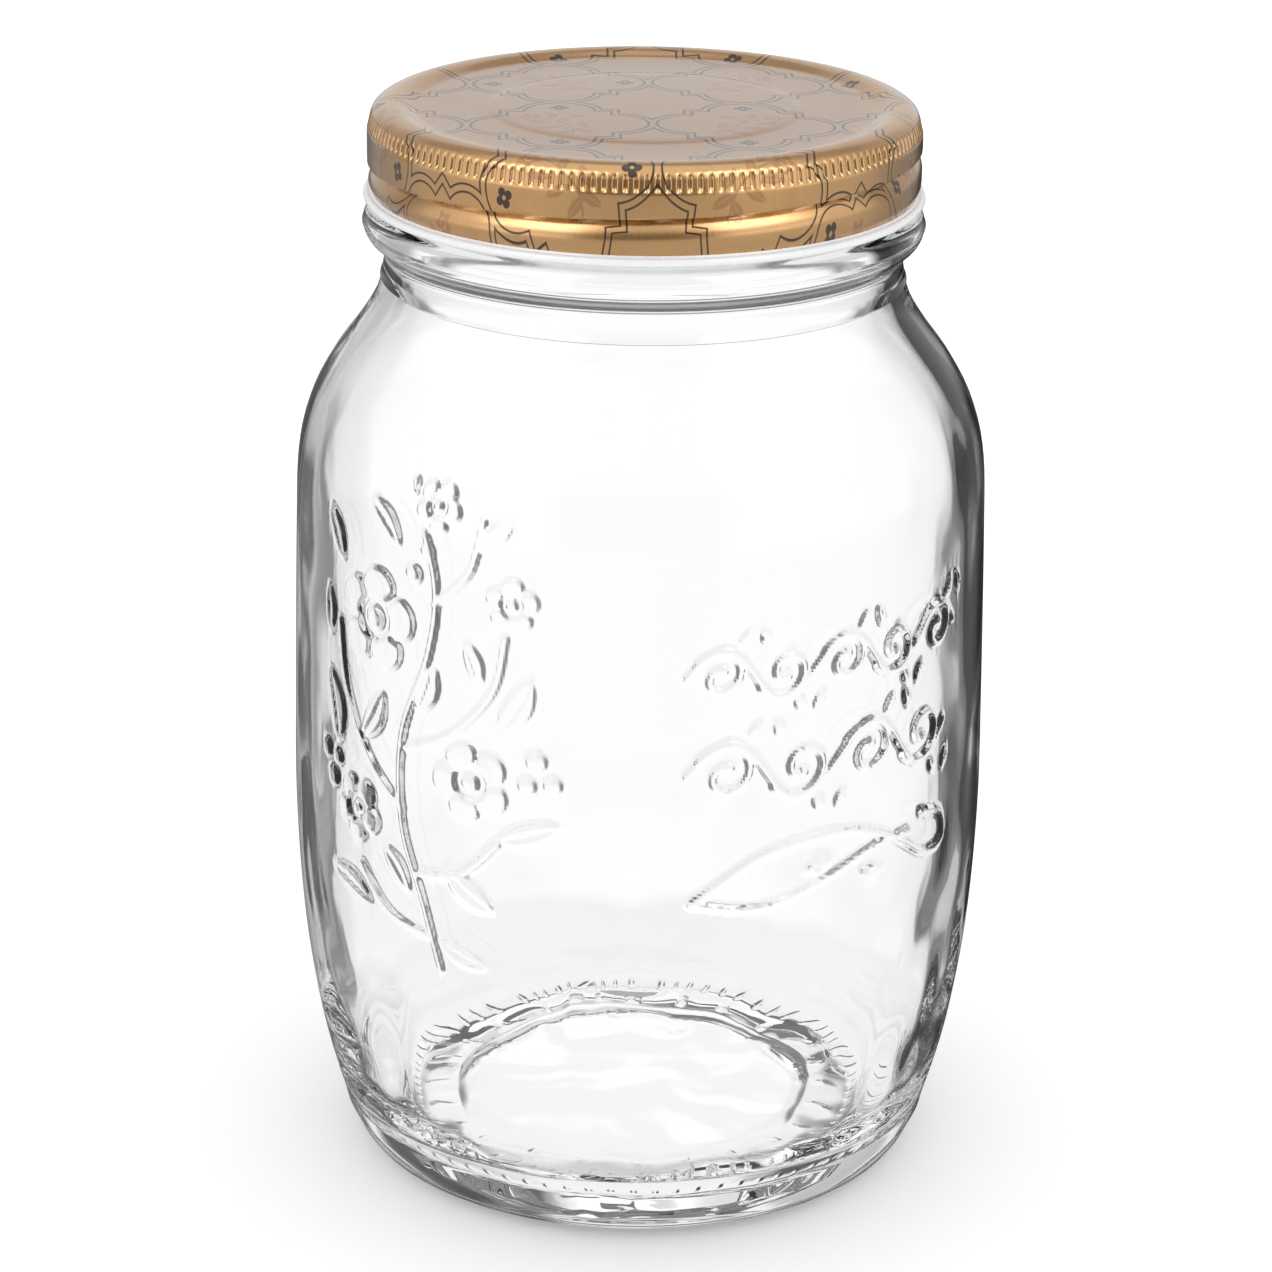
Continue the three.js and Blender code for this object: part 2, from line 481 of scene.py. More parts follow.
glass = {
    "columns": 216,
    "body": [
        (41.8, 0.3), (44.7, 1.5), (46.9, 4.2), (49.5, 12), (52.1, 23), (54.3, 39), (55.3, 58),
        (55.1, 78), (54.5, 104), (53.9, 117), (51.9, 125), (48.4, 131.6), (44.3, 137.2),
        (41.4, 142.2), (40.3, 147.2),
    ],
    "wall": 3.1,
    "lookUp": 0.5,  # spacing of the outline in which radii are looked up
    "innerFrom": 14,  # the inner wall starts above this height
    "innerStride": 6,
    "sharpAngle": 60,
    "centre": [(0, 2.5), (12, 2.4), (22, 2.15), (27.6, 1.95), (28.4, 1.93)],
    "underside": [
        (28.4, 1.93), (28.8, 1.5), (29.6, 1.42), (32, 1.1), (34.4, 0.66), (36.2, 0.3), (37.6, 0.06),
    ],
    "ring": [(37.6, 0.06), (38.4, 0), (39.3, 0), (40.5, 0.08), (41.8, 0.3)],
    "floor": [(44.9, 11.4), (42.2, 8.6), (38, 7.2), (24, 7.3), (0, 7.8)],
    "neck": [(40.3, 147.2), (40.25, 148.6), (40.6, 149.7)],
    "seamHeight": 145.1,
    "seamRows": [-0.22, -0.08, 0.08, 0.22],
    "seamClear": 0.4,
    "seamRise": 0.19,
    "heelLines": [2.6, 6.3],
    "beadRadius": 43.4,
    "beadHeight": 153.7,
    "beadDepth": 2.6,
    "beadHalf": 2.9,
    "beadTurns": [-75, -45, -15, 15, 45, 75],
    "beadSeam": 0.15,
    "overBead": [(40.15, 157.5), (39.9, 158.6)],
    "finish": [(39.9, 158.6), (39.9, 163), (39.9, 169)],
    "lip": [
        (39.9, 169), (39.4, 170.05), (38.7, 170.4), (38.1, 170.3), (37.5, 169.9), (37.2, 169.2),
    ],
    "bore": [(37.2, 169.2), (37.2, 158)],
    "spacing": {
        "centre": 3.4, "underside": 1, "outer": 1.9, "neck": 0.5, "bead": 0.45, "overBead": 0.4,
        "finish": 0.9, "lip": 0.35, "bore": 2.4, "inner": 2.8, "floor": 1.8,
    },
    "sideSeam": {"turn": -97.7, "half": 0.85, "rise": 0.12, "heights": (6, 144)},
    "thread": {
        "height": 167.6, "pitch": 6, "span": (-250, 15), "fade": 26, "crest": 1.3,
        "half": (0.3, 1.25), "beyond": 39.5, "heights": (158.6, 169.2),
    },
    "waves": {
        # each wave has its size round the wall, its size upwards, a shift and its strength
        "wall": [(17, 30, 0, 1), (7, 12, 5, 0.6)],
        "floor": [(11, 1, 3, 1), (5, 1, 8, 0.5)],
        "wallDepth": 0.22, "heelDepth": 0.3, "heelFade": (20, 60), "floorDepth": 0.5,
        "clear": 1.5, "heights": (6, 146), "lowFade": (6, 16), "highFade": (128, 146),
        "floorRadius": 43.5, "floorHeight": 12, "floorFade": (46, 38),
    },
    "foot": {"radii": (30, 42.2), "below": 2.3, "cuts": 3, "depth": 0.35},
    "ticks": {"count": 72, "half": (0.1, 0.55), "from": (37.6, 38.2), "to": (41, 41.7)},
    "dots": {"count": 24, "radius": 32.2, "half": (0.5, 1.3)},
}


def bodyLine(spacing):
    return throughPoints(glass["body"], spacing)


def wallRadiusAt(height):
    line = bodyLine(glass["lookUp"])
    return np.interp(height, line[:, 1], line[:, 0])


def innerLine(spacing):
    line = bodyLine(glass["lookUp"])
    along = directionsOf(line)
    inner = line + glass["wall"] * np.column_stack([-along[:, 1], along[:, 0]])
    inner = inner[line[:, 1] > glass["innerFrom"]]
    return throughPoints(inner[::-1][::glass["innerStride"]], spacing)


def raiseAt(line, height, rise):
    # the point of the outline nearest to this height stands out
    line[np.argmin(np.abs(line[:, 1] - height)), 0] += rise


def beadLine(spacing):
    turns = np.radians(glass["beadTurns"])
    depth = glass["beadDepth"]
    radius = glass["beadRadius"] - depth + depth * np.cos(turns)
    height = glass["beadHeight"] + glass["beadHalf"] * np.sin(turns)
    line = throughPoints(np.column_stack([radius, height]), spacing)
    raiseAt(line, glass["beadHeight"], glass["beadSeam"])
    return line


def makeGlass():
    spacing = glass["spacing"]
    bead = beadLine(spacing["bead"])
    inner = innerLine(spacing["inner"])
    outer = bodyLine(spacing["outer"])
    # the ring that the two halves of the neck mould leave
    seamHeights = glass["seamHeight"] + np.array(glass["seamRows"])
    seam = np.column_stack([np.interp(seamHeights, outer[:, 1], outer[:, 0]), seamHeights])
    seam[1:3, 0] += glass["seamRise"]
    for height in glass["heelLines"]:
        raiseAt(outer, height, glass["seamRise"])
    outline = joined(
        throughPoints(glass["centre"], spacing["centre"]),
        throughPoints(glass["underside"], spacing["underside"]),
        glass["ring"],
        outer[outer[:, 1] < glass["seamHeight"] - glass["seamClear"]],
        seam,
        outer[outer[:, 1] > glass["seamHeight"] + glass["seamClear"]],
        throughPoints(glass["neck"] + [tuple(bead[0])], spacing["neck"]),
        bead,
        throughPoints([tuple(bead[-1])] + glass["overBead"], spacing["overBead"]),
        throughPoints(glass["finish"], spacing["finish"]),
        throughPoints(glass["lip"], spacing["lip"]),
        throughPoints(glass["bore"] + [tuple(inner[0])], spacing["bore"]),
        inner,
        throughPoints([tuple(inner[-1])] + glass["floor"], spacing["floor"]),
    )
    outline[0][0] = outline[-1][0] = 0
    piece = spunFrom("glassJar", outline, glass["columns"])
    print("glass spun:", len(piece.data.polygons), "faces")
    return piece


def cutThread(piece):
    thread = glass["thread"]
    points = pointsOf(piece)
    radius, angle = polar(points)
    height = points[:, 2]
    rise = np.zeros(len(points))
    for above, share in screwTurns(angle, height, thread):
        shape = 1 - smoothStep(np.abs(above), *thread["half"])
        rise = np.maximum(rise, thread["crest"] * shape * share)
    onFinish = (radius > thread["beyond"]) & between(height, *thread["heights"])
    movePoints(piece, fromPolar(radius + rise * onFinish, angle, height))


def unevenness(x, y, z, waves):
    # the waves added up, each a soft noise
    return sum(
        strength * noise.noise(Vector((x / size, y / size, z / tall + shift)))
        for size, tall, shift, strength in waves
    )


def wavyInside(piece):
    # a blown inner face is never quite even
    waves = glass["waves"]
    points = pointsOf(piece)
    radius, _ = polar(points)
    height = points[:, 2]
    inner = (radius < wallRadiusAt(height) - waves["clear"]) & between(height, *waves["heights"])
    share = smoothStep(height, *waves["lowFade"]) * (1 - smoothStep(height, *waves["highFade"]))
    for i in np.nonzero(inner)[0]:
        x, y, z = points[i]
        if radius[i] < waves["floorRadius"] and z < waves["floorHeight"]:
            lift = unevenness(x, y, 0, waves["floor"])
            points[i, 2] += waves["floorDepth"] * lift * smoothStep(radius[i], *waves["floorFade"])
        depth = waves["wallDepth"] + waves["heelDepth"] * (1 - smoothStep(z, *waves["heelFade"]))
        move = depth * unevenness(x, y, z, waves["wall"]) * share[i] / max(radius[i], 1)
        points[i, 0] += move * x
        points[i, 1] += move * y
    movePoints(piece, points)


def toNearest(angle, radius, count):
    # length round the axis to the nearest of this many even places
    step = 360 / count
    return arcOf(np.abs((angle + step / 2) % step - step / 2), radius)


def pressFoot(piece):
    # short radial grooves round the bearing ring, and a ring of dots inside it
    foot, ticks, dots = glass["foot"], glass["ticks"], glass["dots"]
    points = pointsOf(piece)
    radius, _ = polar(points)
    cutAround(piece, between(radius, *foot["radii"]) & (points[:, 2] < foot["below"]), foot["cuts"])
    points = pointsOf(piece)
    radius, angle = polar(points)
    under = points[:, 2] < foot["below"]
    tick = 1 - smoothStep(toNearest(angle, radius, ticks["count"]), *ticks["half"])
    tick = tick * smoothStep(radius, *ticks["from"]) * (1 - smoothStep(radius, *ticks["to"]))
    aside = toNearest(angle, radius, dots["count"])
    dot = 1 - smoothStep(np.hypot(aside, radius - dots["radius"]), *dots["half"])
    points[:, 2] += foot["depth"] * (tick + dot) * under
    movePoints(piece, points)


relief = {
    # places are [millimetres round the wall, height], turns are in degrees
    "sprayCentre": -127,
    "scrollCentre": -56,
    "arcRadius": 54,
    "halfWidth": 32,
    "heights": (42, 132),
    "lastTurn": -20,
    "clear": 0.6,
    "rise": 0.55,
    "edge": (0, 0.52),
    "swell": (0.72, 0.28),
    "probes": (-1.2, -0.6, 0, 0.6, 1.2),
    "steep": 0.15,
    "cuts": 3,
    "spacing": 1.5,
    "stems": [
        [(4, 47), (1, 58), (-3, 70), (-3, 84), (2, 98), (3, 110), (-2, 124)],
        [(-3, 72), (-10, 78), (-16, 88), (-18, 98)], [(-2, 82), (6, 86), (13, 94), (15, 103)],
        [(0, 62), (8, 64), (14, 70)], [(2, 52), (-6, 54), (-12, 60)],
        [(3, 106), (9, 112), (11, 120)],
    ],
    "stem": {"half": 0.85, "share": 0.8, "width": 0.5},
    "blossoms": [
        (-9, 101, 8.5, 10), (9.5, 79, 6.8, 40), (-13, 69, 5.6, -20), (16, 108, 4.6, 15),
        (3, 121, 4.4, 60),
    ],
    "petals": {
        # half the number of petals, then shares of the blossom's size
        "halfCount": 2.5, "reach": (0.62, 0.38), "width": 0.5, "lobes": (0.55, 0.45),
        "cleft": (0.1, 0.22), "eye": 0.24, "eyeWidth": 0.2, "moat": 0.3, "moatHalf": (0.05, 0.13),
        "clear": 0.3,
    },
    "leaves": [
        (-19, 84, 105, 6.5, 2.7), (-9, 85, 60, 5.5, 2.3), (2, 92, 70, 5, 2.1), (17, 92, 60, 6, 2.5),
        (19, 72, 20, 5.6, 2.3), (9, 61, -35, 5.6, 2.4), (-15, 56, 165, 6, 2.4),
        (-4, 62, 130, 4.8, 2), (13, 118, 40, 4.6, 1.9), (-7, 117, 140, 5.2, 2.1),
        (-19, 112, 120, 5, 2), (10, 98, 110, 4.4, 1.8), (8, 50, -20, 5.2, 2.1),
        (-21, 99, 95, 4.6, 1.8),
    ],
    "leaf": {"bend": 0.12, "vein": 0.6, "veinHalf": (0.1, 0.5), "slope": 0.8},
    "berries": [
        (20, 84, 1.9), (22.5, 80.5, 1.7), (18.6, 80, 1.7), (-20, 72, 1.9), (-22, 76, 1.7),
        (-18.6, 75.6, 1.6), (-1, 110, 1.7), (1.6, 114, 1.5),
    ],
    "berryWidth": 1.5,
    "vines": [(98, 4.4, -20, 5), (82.5, 5.2, -19, 4)],
    "vine": {
        # lengths are shares of the vine's size, but for its half width and its leaves
        "half": 0.75, "slant": 0.12, "step": 2.3, "wave": 0.95, "points": 60, "curlPoints": 36,
        "curlTurns": (150, 430), "curlIn": 0.78, "curlPower": 0.8, "knob": 1.5,
        "leafPlaces": ((0.3, 60), (0.62, 110)), "leafOut": 1.25, "leafSize": (2.4, 1.1),
    },
    "flourishes": [
        ([(-24, 62), (-13, 69), (0, 70.5), (10, 67), (18, 62), (23, 62.5), (22.5, 67), (17, 69)], 0.9),
        ([(-24, 62), (-14, 60.5), (-4, 63), (6, 66.5), (14, 67)], 0.75),
    ],
    "buds": [(-4, 65.6, 10, 3, 1.2), (6, 62.6, -10, 3, 1.2)],
}


def offsetFrom(place, across, along):
    return across - place[0], along - place[1]


def toLine(across, along, line):
    # distance to a run of straight stretches
    nearest = np.full(len(across), np.inf)
    for start, end in zip(line[:-1], line[1:]):
        stretch = end - start
        fromX, fromY = offsetFrom(start, across, along)
        share = (fromX * stretch[0] + fromY * stretch[1]) / max(stretch @ stretch, tiny)
        share = np.clip(share, 0, 1)
        gap = np.hypot(fromX - share * stretch[0], fromY - share * stretch[1])
        nearest = np.minimum(nearest, gap)
    return nearest


def domed(depth, width):
    # a rounded swelling: steep at its edge and fuller towards the middle
    low, more = relief["swell"]
    return smoothStep(depth, *relief["edge"]) * (low + more * smoothStep(depth, 0, width))


def lineRise(across, along, line, half, width):
    return domed(half - toLine(across, along, line), width)


def dotRise(across, along, place, radius, width):
    return domed(radius - np.hypot(*offsetFrom(place, across, along)), width)


def leafRise(across, along, leaf):
    form = relief["leaf"]
    fromX, fromY = offsetFrom(leaf, across, along)
    turn, long, wide = np.radians(leaf[2]), leaf[3], leaf[4]
    lengthwise = fromX * np.cos(turn) + fromY * np.sin(turn)
    sideways = fromY * np.cos(turn) - fromX * np.sin(turn)
    fromVein = np.abs(sideways - form["bend"] * lengthwise * lengthwise / long)
    inside = wide * (1 - (lengthwise / long) ** 2) - fromVein
    vein = 1 - form["vein"] * (1 - smoothStep(fromVein, *form["veinHalf"]))
    return domed(inside * form["slope"], wide) * np.where(np.abs(lengthwise) < long, vein, 0)


def blossomRise(across, along, blossom):
    form = relief["petals"]
    fromX, fromY = offsetFrom(blossom, across, along)
    size = blossom[2]
    reach = np.hypot(fromX, fromY)
    around = form["halfCount"] * (np.arctan2(fromY, fromX) - np.radians(blossom[3]))
    lobe = np.abs(np.cos(around))
    (shortest, longer), (shallow, deeper) = form["reach"], form["lobes"]
    petals = domed(size * (shortest + longer * np.sqrt(lobe)) - reach, size * form["width"])
    cleftLow, cleftHigh = form["cleft"]
    petals *= shallow + deeper * smoothStep(lobe * reach, cleftLow, cleftHigh * size)
    eye = domed(form["eye"] * size - reach, form["eyeWidth"] * size)
    fromMoat = np.abs(reach - form["moat"] * size)
    moatLow, moatHigh = form["moatHalf"]
    moat = smoothStep(fromMoat, moatLow * size, moatHigh * size)
    return np.maximum(petals * moat, eye)


def sprayRise(across, along):
    stem = relief["stem"]
    rise = np.zeros(len(across))
    for line in relief["stems"]:
        line = throughPoints(line, relief["spacing"])
        raised = lineRise(across, along, line, stem["half"], stem["width"])
        rise = np.maximum(rise, stem["share"] * raised)
    for leaf in relief["leaves"]:
        rise = np.maximum(rise, leafRise(across, along, leaf))
    for blossom in relief["blossoms"]:
        reach = np.hypot(*offsetFrom(blossom, across, along))
        rise = np.where(reach < blossom[2] + relief["petals"]["clear"], 0, rise)
        rise = np.maximum(rise, blossomRise(across, along, blossom))
    for berry in relief["berries"]:
        raised = dotRise(across, along, berry, berry[2], relief["berryWidth"])
        rise = np.maximum(rise, raised)
    return rise


def vineRise(across, along, height, size, first, count):
    # a waving line that curls into every bend, with small leaves at its turns
    vine = relief["vine"]
    half = vine["half"]
    leaned = across - vine["slant"] * (along - height)
    step = vine["step"] * size
    run = np.linspace(first - step / 2, first + (count - 0.5) * step, vine["points"])
    swing = vine["wave"] * size * np.cos(np.pi * (run - first) / step)
    rise = lineRise(leaned, along, np.column_stack([run, height + swing]), half, half)
    for k in range(count):
        side = 1 if k % 2 == 0 else -1
        share = np.linspace(0, 1, vine["curlPoints"])
        curlStart, curlRound = vine["curlTurns"]
        turn = np.radians(curlStart - curlRound * share)
        reach = size * (1 - vine["curlIn"] * share ** vine["curlPower"])
        curl = np.column_stack([
            first + k * step + reach * np.cos(turn), height + side * reach * np.sin(turn),
        ])
        rise = np.maximum(rise, lineRise(leaned, along, curl, half, half))
        rise = np.maximum(rise, dotRise(leaned, along, curl[-1], vine["knob"] * half, half))
        for aside, turn in vine["leafPlaces"]:
            place = (first + (k + aside) * step, height + side * vine["leafOut"] * size)
            leaf = (*place, side * turn, *vine["leafSize"])
            rise = np.maximum(rise, leafRise(leaned, along, leaf))
    return rise


def scrollRise(across, along):
    rise = np.zeros(len(across))
    for vine in relief["vines"]:
        rise = np.maximum(rise, vineRise(across, along, *vine))
    for line, half in relief["flourishes"]:
        line = throughPoints(line, relief["spacing"])
        rise = np.maximum(rise, lineRise(across, along, line, half, half))
    for bud in relief["buds"]:
        rise = np.maximum(rise, leafRise(across, along, bud))
    return rise


def reliefAt(points):
    # how far the pressed ornament stands out of the wall at each point
    _, angle = polar(points)
    height = points[:, 2]
    rise = np.zeros(len(points))
    for centre, shape in ((relief["sprayCentre"], sprayRise), (relief["scrollCentre"], scrollRise)):
        across = arcOf(angle - centre, relief["arcRadius"])
        near = (np.abs(across) < relief["halfWidth"]) & between(height, *relief["heights"])
        rise[near] = np.maximum(rise[near], shape(across[near], height[near]))
    return rise


def onOuterFace(radius, height, heights):
    # true where a place is on the outside of the wall, between two heights
    return (radius > wallRadiusAt(height) - relief["clear"]) & between(height, *heights)


def pressRelief(piece):
    # the wall is cut finer where the ornament's height changes, and then moved out
    centres = faceVectors(piece, "center") / mm
    radius, angle = polar(centres)
    height = centres[:, 2]
    outer = onOuterFace(radius, height, relief["heights"]) & (angle < relief["lastTurn"])
    lowest, highest = np.full(len(centres), np.inf), np.zeros(len(centres))
    for aside in relief["probes"]:
        turn = np.degrees(aside / relief["arcRadius"])
        for above in relief["probes"]:
            rise = reliefAt(fromPolar(radius, angle + turn, height + above)[outer])
            lowest[outer] = np.minimum(lowest[outer], rise)
            highest[outer] = np.maximum(highest[outer], rise)
    cutFiner(piece, "polygons", outer & (highest - lowest > relief["steep"]), relief["cuts"])
    points = pointsOf(piece)
    radius, angle = polar(points)
    height = points[:, 2]
    outer = onOuterFace(radius, height, relief["heights"])
    rise = np.zeros(len(points))
    rise[outer] = relief["rise"] * reliefAt(points[outer])
    # the upright line where the two halves of the mould meet
    seam = glass["sideSeam"]
    onSeam = arcOf(np.abs(angle - seam["turn"]), radius) < seam["half"]
    rise = np.maximum(rise, seam["rise"] * onSeam * onOuterFace(radius, height, seam["heights"]))
    movePoints(piece, fromPolar(radius + rise, angle, height))


glassPiece = makeGlass()
cutThread(glassPiece)
wavyInside(glassPiece)
pressFoot(glassPiece)
pressRelief(glassPiece)
print("relief pressed:", len(glassPiece.data.polygons), "faces")


def glassMaterial():
    material, wire = newMaterial("clearGlass")
    place = wire.node("ShaderNodeTexCoord").out("Object")
    waves = wire.node("ShaderNodeTexNoise", {}, {"Vector": place, "Scale": 60, "Detail": 1})
    bump = wire.node("ShaderNodeBump", {}, {"Strength": 0.2, "Distance": 0.1 * mm, "Height": waves})
    shader = wire.node("ShaderNodeBsdfPrincipled", {}, {
        "Base Color": (0.985, 0.99, 0.99, 1), "Roughness": 0, "IOR": 1.5,
        "Transmission Weight": 1, "Normal": bump,
    })
    surfaceOf(wire, shader)
    return material


glassPiece.data.materials.append(glassMaterial())
finished(glassPiece, glass["sharpAngle"])
print("glass ready")


lid = {
    "columns": 171,
    "sharpAngle": 50,
    "dome": [(0, 171.45), (6, 171.44), (12, 171.4), (18, 171.32), (23.2, 171.22)],
    "panel": [
        (23.2, 171.22), (23.7, 171.14), (24.3, 171.02), (24.7, 171), (29, 171), (34.8, 171),
    ],
    "crown": [
        (34.8, 171), (35.6, 171.08), (36.5, 171.42), (37.5, 171.8), (38.6, 172), (39.6, 171.94),
        (40.6, 171.66), (41.4, 171.2), (41.85, 170.75),
    ],
    "skirt": [
        (41.85, 170.75), (42.12, 170.1), (42.35, 169.1), (42.52, 168.3), (42.65, 167.4),
        (42.65, 161.2), (42.5, 159.8), (42.2, 158.8),
    ],
    "spacing": {"dome": 1.8, "crown": 0.36, "skirt": 0.24},
    # its turns are the first angle, the one before which it ends, and the step between
    "curl": {"radius": 0.68, "centre": (42.65, 157.85), "turns": (110, -161, -18)},
    "sheet": 0.5,
    "topHeight": 172,
    "compound": {"from": 35.8, "height": 170.8},
    "groove": {
        "height": 165.3, "pitch": 6, "span": (-240, 75), "fade": 26, "depth": 1.25,
        "below": 2.9, "above": 0.5, "beyond": 41.4, "heights": (158.7, 168.4),
    },
    "flutes": {
        "count": 171, "depth": 0.29, "half": (0.16, 0.4), "foot": (168.15, 168.65),
        "head": (169.9, 171), "beyond": 41.5,
    },
    "finerBand": {"beyond": 41.3, "heights": (167.65, 171.4), "cuts": 12},
    "innerFaces": {"beyond": 37.5, "heights": (168.4, 171), "down": -0.4, "inwards": -0.2},
    "curlTop": 158.85,
}


def curlLine():
    curl = lid["curl"]
    turns = np.radians(np.arange(*curl["turns"]))
    return np.column_stack([
        curl["centre"][0] + curl["radius"] * np.cos(turns),
        curl["centre"][1] + curl["radius"] * np.sin(turns),
    ])


def makeLid():
    spacing = lid["spacing"]
    dome = throughPoints(lid["dome"], spacing["dome"])
    top = joined(dome, lid["panel"], throughPoints(lid["crown"], spacing["crown"]))
    skirt = throughPoints(lid["skirt"], spacing["skirt"])
    outer = joined(top, skirt)
    along = directionsOf(outer)
    inside = outer + lid["sheet"] * np.column_stack([along[:, 1], -along[:, 0]])
    inside[0][0] = 0
    inside = inside[inside[:, 1] < lid["topHeight"]][::-1]
    # sealing compound fills the channel under the rim
    compound = lid["compound"]
    channel = (inside[:, 0] > compound["from"]) & (inside[:, 1] > compound["height"])
    inside[channel, 1] = compound["height"]
    # every other row is enough on the inner face
    thinned = np.vstack([inside[:-1][::2], inside[-1:]])
    outline = joined(top, skirt, curlLine(), thinned)
    outline[0][0] = outline[-1][0] = 0
    piece = spunFrom("screwLid", outline, lid["columns"])
    print("lid spun:", len(piece.data.polygons), "faces")
    return piece


def rollGroove(piece):
    groove = lid["groove"]
    points = pointsOf(piece)
    radius, angle = polar(points)
    height = points[:, 2]
    sunk = np.zeros(len(points))
    for above, share in screwTurns(angle, height, groove):
        shape = np.clip(1 + above / groove["below"], 0, 1) ** 2
        shape = shape * (1 - smoothStep(above, 0, groove["above"]))
        sunk = np.maximum(sunk, groove["depth"] * shape * share)
    onSkirt = (radius > groove["beyond"]) & between(height, *groove["heights"])
    movePoints(piece, fromPolar(radius - sunk * onSkirt, angle, height))


def pressFlutes(piece):
    # upright hollows, steep at their foot and running out into the rim
    flutes, band = lid["flutes"], lid["finerBand"]
    points = pointsOf(piece)
    radius, _ = polar(points)
    inBand = (radius > band["beyond"]) & between(points[:, 2], *band["heights"])
    cutAround(piece, inBand, band["cuts"])
    points = pointsOf(piece)
    radius, angle = polar(points)
    height = points[:, 2]
    share = smoothStep(height, *flutes["foot"]) * (1 - smoothStep(height, *flutes["head"]))
    pitch = 360 / flutes["count"]
    aside = arcOf(np.abs(angle % pitch - pitch / 2), radius)
    hollow = flutes["depth"] * (1 - smoothStep(aside, *flutes["half"]))
    outside = radius > flutes["beyond"]
    movePoints(piece, fromPolar(radius - hollow * share * outside, angle, height))


lidPiece = makeLid()
rollGroove(lidPiece)
pressFlutes(lidPiece)

gold = {
    "lacquer": (0.62, 0.355, 0.143, 1),
    # painted shade: the flat top gets a darker, deeper lacquer that tones down the bright backdrop its
    # coat mirrors
    "shadedTopLacquer": (0.47, 0.25, 0.11, 1),
    "line": (0.02, 0.007, 0.003, 1),
    "lineInk": 0.97,
    "sprig": (0.34, 0.13, 0.06, 1),
    "sprigInk": (0.5, 0.8),
    "clouds": 0.12,
    "cloudFade": (0.5, 0.75),
    "cloudScale": 170,
    "grainScale": 2200,
    "brushing": (1, 1, 0.05),
    "roughness": (0.22, 0.14),
    # the printed sheet, before it was drawn down over the edge
    "flatFade": (32, 39),
    "drawn": 84.8,
    "drawnFrom": 170.6,
    "axisRadius": 0.01,
    "shift": (0.8, 1.3),
    "turn": 1.5,
    # the lattice, one cell of it
    "cell": 28,
    "square": 7.9,
    "lobeOut": 8.0,
    "lobeRadius": 5.4,
    "band": 1.1,
    "lineHalf": (0.165, 0.23),
    "lineEdge": 0.05,
    "flower": {
        "out": 10.3, "petalOut": 0.86, "petalRadius": 0.66, "edge": (-0.06, 0.06),
        "eye": (0.26, 0.38),
    },
    # a leafy sprig in the middle of each cell
    "sprigReach": (6.4, 7),
    "sprigFade": (-1.6, -1.1),
    "stemCentre": (7.5, -4.6),
    "stemRadius": 9.6,
    "stemHalf": (0.12, 0.26),
    "leaves": [
        (-3.6, -4.2, 40, 2.3, 0.95), (-1, -4.9, -35, 2.2, 0.9), (-3.4, -0.6, 75, 2.2, 0.85),
        (1.2, -2, -10, 2.4, 0.95), (-0.4, 2, 110, 2.1, 0.85), (3.3, 1.1, 20, 2.3, 0.9),
        (1.1, 5.2, 80, 2.2, 0.85), (-2.9, 4.6, 150, 1.9, 0.75),
    ],
    "leafEdge": (0, 0.16),
    "vein": (0.05, 0.2),
    "veinInk": (0.55, 0.45),
    "blossom": {
        "centre": (4.4, 4.4), "petals": 5, "radius": 1.55, "swing": 0.4, "edge": (-0.1, 0.1),
        "eye": 0.6, "eyeLine": (0.08, 0.2),
    },
}


def hypotOf(across, along):
    return (across * across + along * along).root()


def turned(across, along, turn):
    # the same place, read from axes that are turned by this many degrees
    cosTurn, sinTurn = math.cos(degrees(turn)), math.sin(degrees(turn))
    return across * cosTurn + along * sinTurn, along * cosTurn - across * sinTurn


def sprigOf(across, along):
    stemX, stemY = gold["stemCentre"]
    stem = abs(hypotOf(across - stemX, along - stemY) - gold["stemRadius"])
    inReach = 1 - hypotOf(across, along).soft(*gold["sprigReach"])
    ink = (1 - stem.soft(*gold["stemHalf"])) * inReach
    veinInk, moreInk = gold["veinInk"]
    for leafX, leafY, turn, long, wide in gold["leaves"]:
        lengthwise, sideways = turned(across - leafX, along - leafY, turn)
        lengthwise, sideways = lengthwise / long, abs(sideways)
        blade = (1 - lengthwise * lengthwise) * wide - sideways
        shade = veinInk + moreInk * sideways.soft(*gold["vein"])
        ink = ink.most(blade.soft(*gold["leafEdge"]) * shade)
    blossom = gold["blossom"]
    fromX, fromY = across - blossom["centre"][0], along - blossom["centre"][1]
    around = across.maths("ARCTAN2", fromY, fromX)
    lobes = around.maths("COSINE", around * blossom["petals"])
    reach = hypotOf(fromX, fromY)
    petals = 1 - (reach - (blossom["radius"] + blossom["swing"] * lobes)).soft(*blossom["edge"])
    return ink.most(petals * abs(reach - blossom["eye"]).soft(*blossom["eyeLine"]))


def quatrefoilOf(across, along):
    # distance to a square with a round lobe on each side, below 0 inside it
    out, lobe = gold["lobeOut"], gold["lobeRadius"]
    shape = across.most(along) - gold["square"]
    shape = shape.least(hypotOf(across - out, along) - lobe)
    return shape.least(hypotOf(across, along - out) - lobe)


def flowersOf(across, along, row, column):
    # four-petal flowers, in the upright lobes of odd rows and the level lobes of even ones
    flower = gold["flower"]
    fromX = across - (1 - row) * flower["out"]
    fromY = along - row * flower["out"]
    a, b = abs(fromX), abs(fromY)
    petals = hypotOf(a.most(b) - flower["petalOut"], a.least(b)) - flower["petalRadius"]
    eye = hypotOf(fromX, fromY).soft(*flower["eye"])
    return (1 - petals.soft(*flower["edge"])) * eye * row.most(column)


